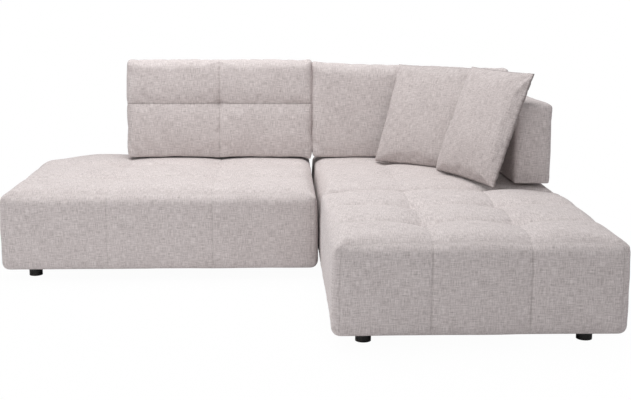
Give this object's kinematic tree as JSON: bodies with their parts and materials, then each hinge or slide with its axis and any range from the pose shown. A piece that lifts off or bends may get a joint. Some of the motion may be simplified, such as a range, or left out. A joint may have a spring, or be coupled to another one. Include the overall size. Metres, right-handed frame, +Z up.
{
  "type": "corner sofa",
  "caption": "Low upholstered corner sofa with tufted seats, a loose sliding backrest, a side arm, a matching ottoman in front and two leaning scatter pillows.",
  "frame": {"origin": "centre of the overall bounding box, on the floor", "axes": "+X along the length towards the end with the arm, +Y towards the back, +Z up; the ottoman stands at -Y"},
  "size_m": [2.541, 2.111, 0.941],
  "materials": {
    "upholstery": "flat woven melange cloth, warm grey",
    "pillow_cloth": "flat woven melange cloth, warm grey",
    "seat_foam": "open foam",
    "back_foam": "open foam",
    "pillow_fibre": "loose fibre in a bag",
    "timber": "sawn, unfinished",
    "webbing": "woven elastic band",
    "dust_cloth": "thin felted cloth, black",
    "foot_plastic": "matt black",
    "steel": "zinc plated",
    "ballast_steel": "painted black",
    "grip_rubber": "ribless grip mat"
  },
  "bodies": {
    "sofa": {"corner_seat_back_cover": "upholstery", "corner_seat_back_foam": "back_foam", "corner_seat_back_frame": "timber", "corner_seat_back_screws": "steel", "corner_seat_back_straps": "steel", "corner_seat_connector_catches": "steel", "corner_seat_connector_screws": "steel", "corner_seat_cover": "upholstery", "corner_seat_cross_rails": "timber", "corner_seat_dust_cover": "dust_cloth", "corner_seat_feet": "foot_plastic", "corner_seat_foam": "seat_foam", "corner_seat_foot_blocks": "timber", "corner_seat_foot_bolts": "steel", "corner_seat_front_rear_rails": "timber", "corner_seat_side_cover": "upholstery", "corner_seat_side_foam": "back_foam", "corner_seat_side_frame": "timber", "corner_seat_side_padding": "seat_foam", "corner_seat_side_rails": "timber", "corner_seat_side_screws": "steel", "corner_seat_side_straps": "steel", "corner_seat_webbing": "webbing", "wide_seat_connector_plates": "steel", "wide_seat_connector_screws": "steel", "wide_seat_cover": "upholstery", "wide_seat_cross_rails": "timber", "wide_seat_dust_cover": "dust_cloth", "wide_seat_feet": "foot_plastic", "wide_seat_foam": "seat_foam", "wide_seat_foot_blocks": "timber", "wide_seat_foot_bolts": "steel", "wide_seat_front_rear_rails": "timber", "wide_seat_side_padding": "seat_foam", "wide_seat_side_rails": "timber", "wide_seat_webbing": "webbing"},
    "backrest": {"wide_seat_backrest_ballast": "ballast_steel", "wide_seat_backrest_cover": "upholstery", "wide_seat_backrest_foam": "back_foam", "wide_seat_backrest_frame": "timber", "wide_seat_backrest_grip_mat": "grip_rubber"},
    "ottoman": {"ottoman_cover": "upholstery", "ottoman_cross_rails": "timber", "ottoman_dust_cover": "dust_cloth", "ottoman_feet": "foot_plastic", "ottoman_foam": "seat_foam", "ottoman_foot_blocks": "timber", "ottoman_foot_bolts": "steel", "ottoman_front_rear_rails": "timber", "ottoman_side_padding": "seat_foam", "ottoman_side_rails": "timber", "ottoman_webbing": "webbing"},
    "rear_pillow": {"rear_pillow_cover": "pillow_cloth", "rear_pillow_filling": "pillow_fibre"},
    "front_pillow": {"front_pillow_cover": "pillow_cloth", "front_pillow_filling": "pillow_fibre"}
  },
  "joints": [
    {"name": "backrest_slide", "type": "slide", "parent": "sofa", "child": "backrest", "axis": [0, -1, 0], "range_m": [0, 0.4]},
    {"name": "ottoman_slide", "type": "slide", "parent": "sofa", "child": "ottoman", "axis": [0, -1, 0], "range_m": [0, 0.6]},
    {"name": "rear_pillow_lift", "type": "slide", "parent": "sofa", "child": "rear_pillow", "axis": [0.3006, 0.1503, 0.9418], "range_m": [0, 0.2]},
    {"name": "front_pillow_lift", "type": "slide", "parent": "sofa", "child": "front_pillow", "axis": [-0.4701, -0.169, 0.8663], "range_m": [0, 0.2]}
  ]
}
